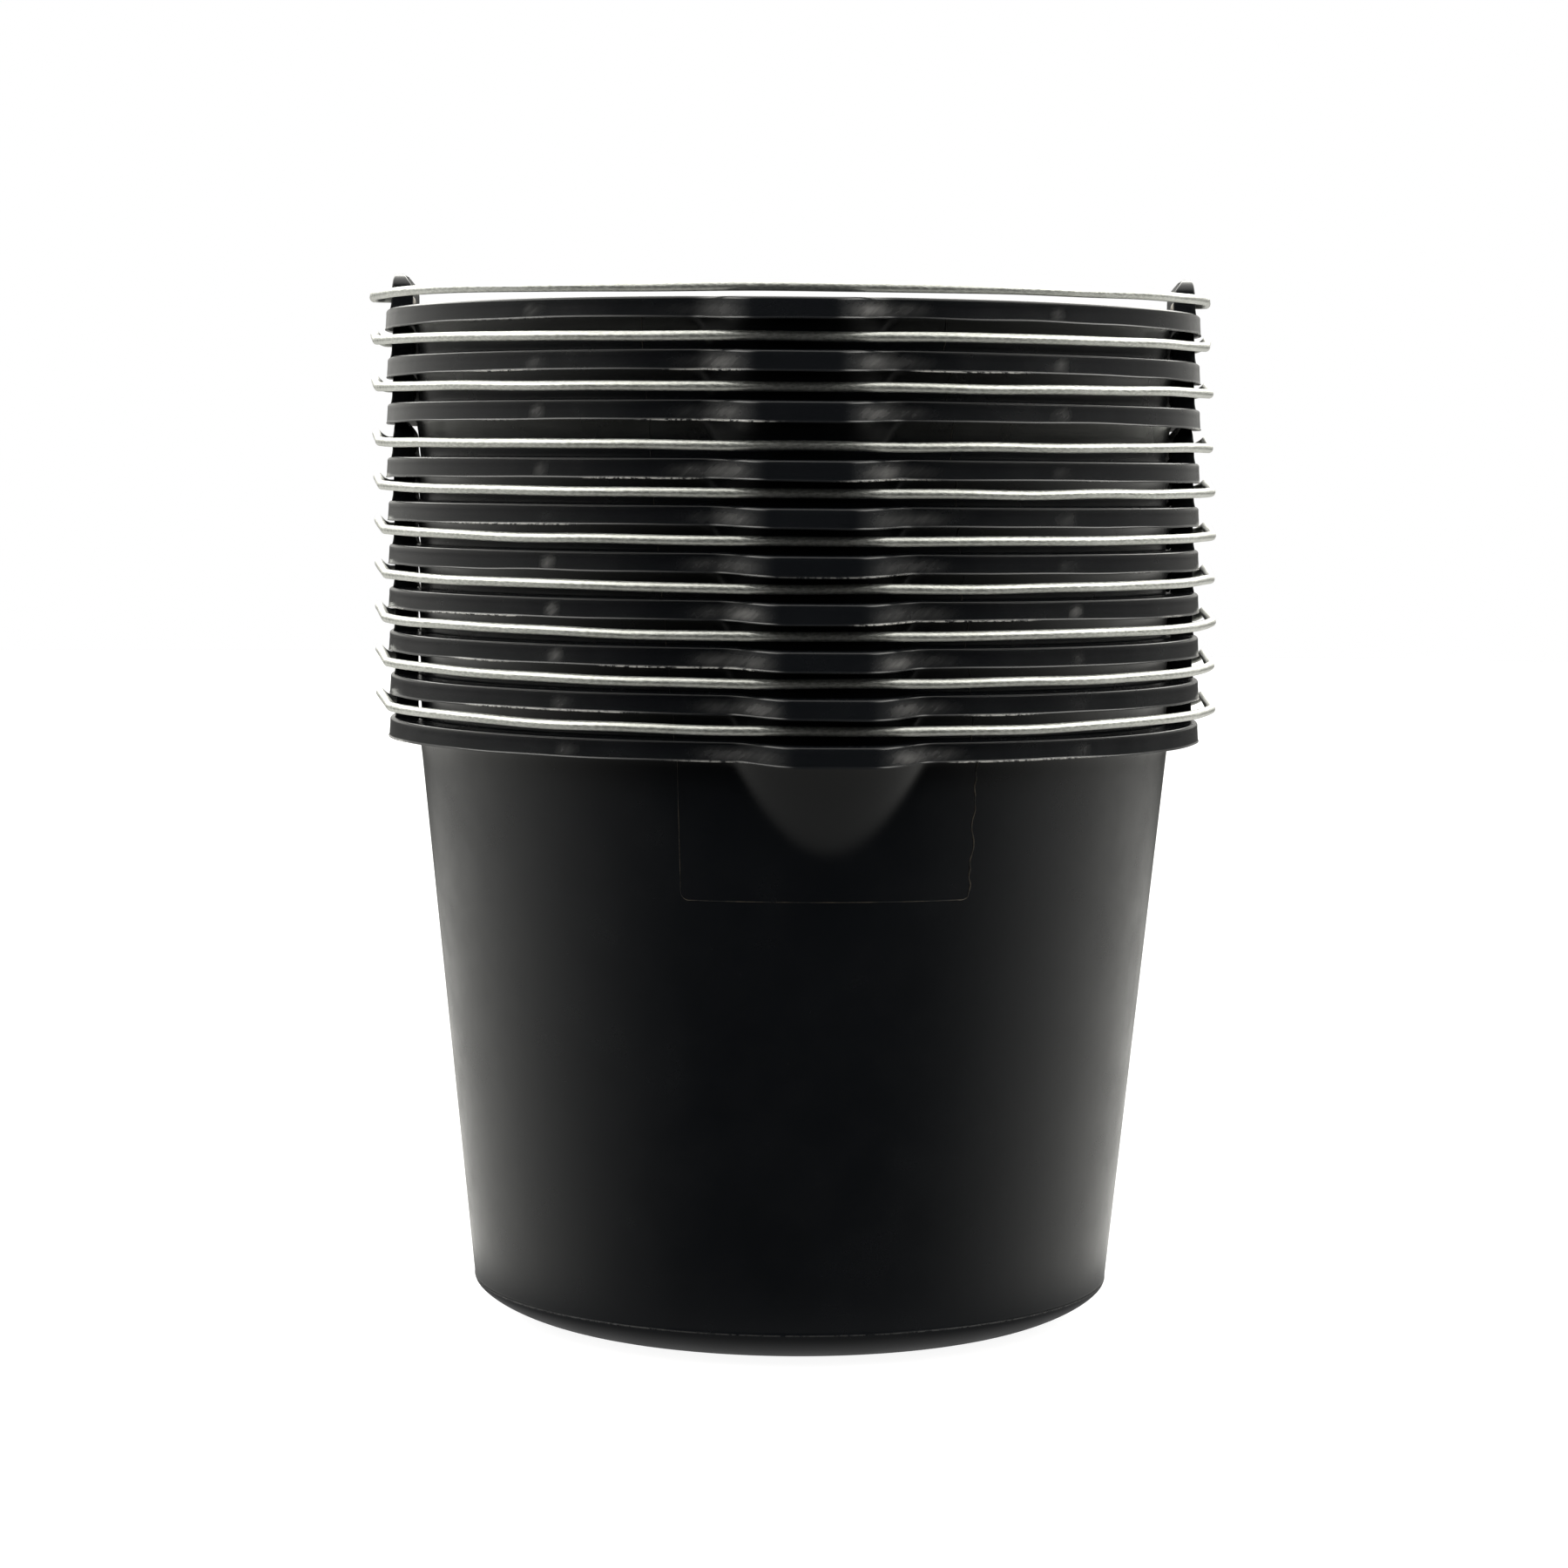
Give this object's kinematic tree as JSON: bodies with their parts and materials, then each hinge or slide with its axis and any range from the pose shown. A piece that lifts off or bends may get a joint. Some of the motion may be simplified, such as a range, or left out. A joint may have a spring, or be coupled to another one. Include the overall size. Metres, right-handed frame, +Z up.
{
  "type": "nested bucket stack",
  "caption": "Stack of nested round tapered buckets with pouring spouts, moulded ears and swinging wire bails.",
  "frame": {"origin": "middle of the bottom bucket's underside, on the plane the stack stands on", "axes": "+Z up the stack, -Y towards the pouring spouts, +X and -X towards the ears of the top bucket"},
  "size_m": [0.3228, 0.3238, 0.3961],
  "materials": {
    "bucket_plastic": "satin black recycled polypropylene",
    "bail_wire": "galvanised, finely spangled"
  },
  "bodies": {
    "bucket_01": {"bucket_01": "bucket_plastic"},
    "bail_01": {"bail_01": "bail_wire"},
    "bucket_02": {"bucket_02": "bucket_plastic"},
    "bail_02": {"bail_02": "bail_wire"},
    "bucket_03": {"bucket_03": "bucket_plastic"},
    "bail_03": {"bail_03": "bail_wire"},
    "bucket_04": {"bucket_04": "bucket_plastic"},
    "bail_04": {"bail_04": "bail_wire"},
    "bucket_05": {"bucket_05": "bucket_plastic"},
    "bail_05": {"bail_05": "bail_wire"},
    "bucket_06": {"bucket_06": "bucket_plastic"},
    "bail_06": {"bail_06": "bail_wire"},
    "bucket_07": {"bucket_07": "bucket_plastic"},
    "bail_07": {"bail_07": "bail_wire"},
    "bucket_08": {"bucket_08": "bucket_plastic"},
    "bail_08": {"bail_08": "bail_wire"},
    "bucket_09": {"bucket_09": "bucket_plastic"},
    "bail_09": {"bail_09": "bail_wire"},
    "bucket_10": {"bucket_10": "bucket_plastic"},
    "bail_10": {"bail_10": "bail_wire"}
  },
  "joints": [
    {"name": "lift_02", "type": "slide", "parent": "bucket_01", "child": "bucket_02", "axis": [0, 0, 1], "range_m": [0, 0.235]},
    {"name": "lift_03", "type": "slide", "parent": "bucket_02", "child": "bucket_03", "axis": [0, 0, 1], "range_m": [0, 0.235]},
    {"name": "lift_04", "type": "slide", "parent": "bucket_03", "child": "bucket_04", "axis": [0, 0, 1], "range_m": [0, 0.235]},
    {"name": "lift_05", "type": "slide", "parent": "bucket_04", "child": "bucket_05", "axis": [0, 0, 1], "range_m": [0, 0.235]},
    {"name": "lift_06", "type": "slide", "parent": "bucket_05", "child": "bucket_06", "axis": [0, 0, 1], "range_m": [0, 0.235]},
    {"name": "lift_07", "type": "slide", "parent": "bucket_06", "child": "bucket_07", "axis": [0, 0, 1], "range_m": [0, 0.235]},
    {"name": "lift_08", "type": "slide", "parent": "bucket_07", "child": "bucket_08", "axis": [0, 0, 1], "range_m": [0, 0.235]},
    {"name": "lift_09", "type": "slide", "parent": "bucket_08", "child": "bucket_09", "axis": [0, 0, 1], "range_m": [0, 0.235]},
    {"name": "lift_10", "type": "slide", "parent": "bucket_09", "child": "bucket_10", "axis": [0, 0, 1], "range_m": [0, 0.235]},
    {"name": "swing_01", "type": "hinge", "parent": "bucket_01", "child": "bail_01", "pos_m": [0, 0, 0.2345], "axis": [-0.9962, -0.0872, 0], "range_deg": [-0.5, 0.8]},
    {"name": "swing_02", "type": "hinge", "parent": "bucket_02", "child": "bail_02", "pos_m": [-0.00018, 0, 0.25084], "axis": [-0.997, -0.0775, 0], "range_deg": [-0.5, 0.8]},
    {"name": "swing_03", "type": "hinge", "parent": "bucket_03", "child": "bail_03", "pos_m": [-0.00036, 0, 0.26718], "axis": [-0.9977, -0.0678, 0], "range_deg": [-0.5, 0.8]},
    {"name": "swing_04", "type": "hinge", "parent": "bucket_04", "child": "bail_04", "pos_m": [-0.00054, 0, 0.28352], "axis": [-0.9983, -0.0581, 0], "range_deg": [-0.5, 0.8]},
    {"name": "swing_05", "type": "hinge", "parent": "bucket_05", "child": "bail_05", "pos_m": [-0.00072, 0, 0.29986], "axis": [-0.9988, -0.0485, 0], "range_deg": [-0.5, 0.8]},
    {"name": "swing_06", "type": "hinge", "parent": "bucket_06", "child": "bail_06", "pos_m": [-0.0009, 0, 0.3162], "axis": [-0.9992, -0.0388, 0], "range_deg": [-0.5, 0.8]},
    {"name": "swing_07", "type": "hinge", "parent": "bucket_07", "child": "bail_07", "pos_m": [-0.00108, 0, 0.33254], "axis": [-0.9996, -0.0291, 0], "range_deg": [-0.5, 2]},
    {"name": "swing_08", "type": "hinge", "parent": "bucket_08", "child": "bail_08", "pos_m": [-0.00126, 0, 0.35273], "axis": [-0.9998, -0.0194, 0], "range_deg": [-0.5, 1.1]},
    {"name": "swing_09", "type": "hinge", "parent": "bucket_09", "child": "bail_09", "pos_m": [-0.00144, 0, 0.37002], "axis": [-1, -0.0097, 0], "range_deg": [-0.5, 1.3]},
    {"name": "swing_10", "type": "hinge", "parent": "bucket_10", "child": "bail_10", "pos_m": [-0.00162, 0, 0.38691], "axis": [-1, 0, 0], "range_deg": [-0.2, 186]}
  ]
}
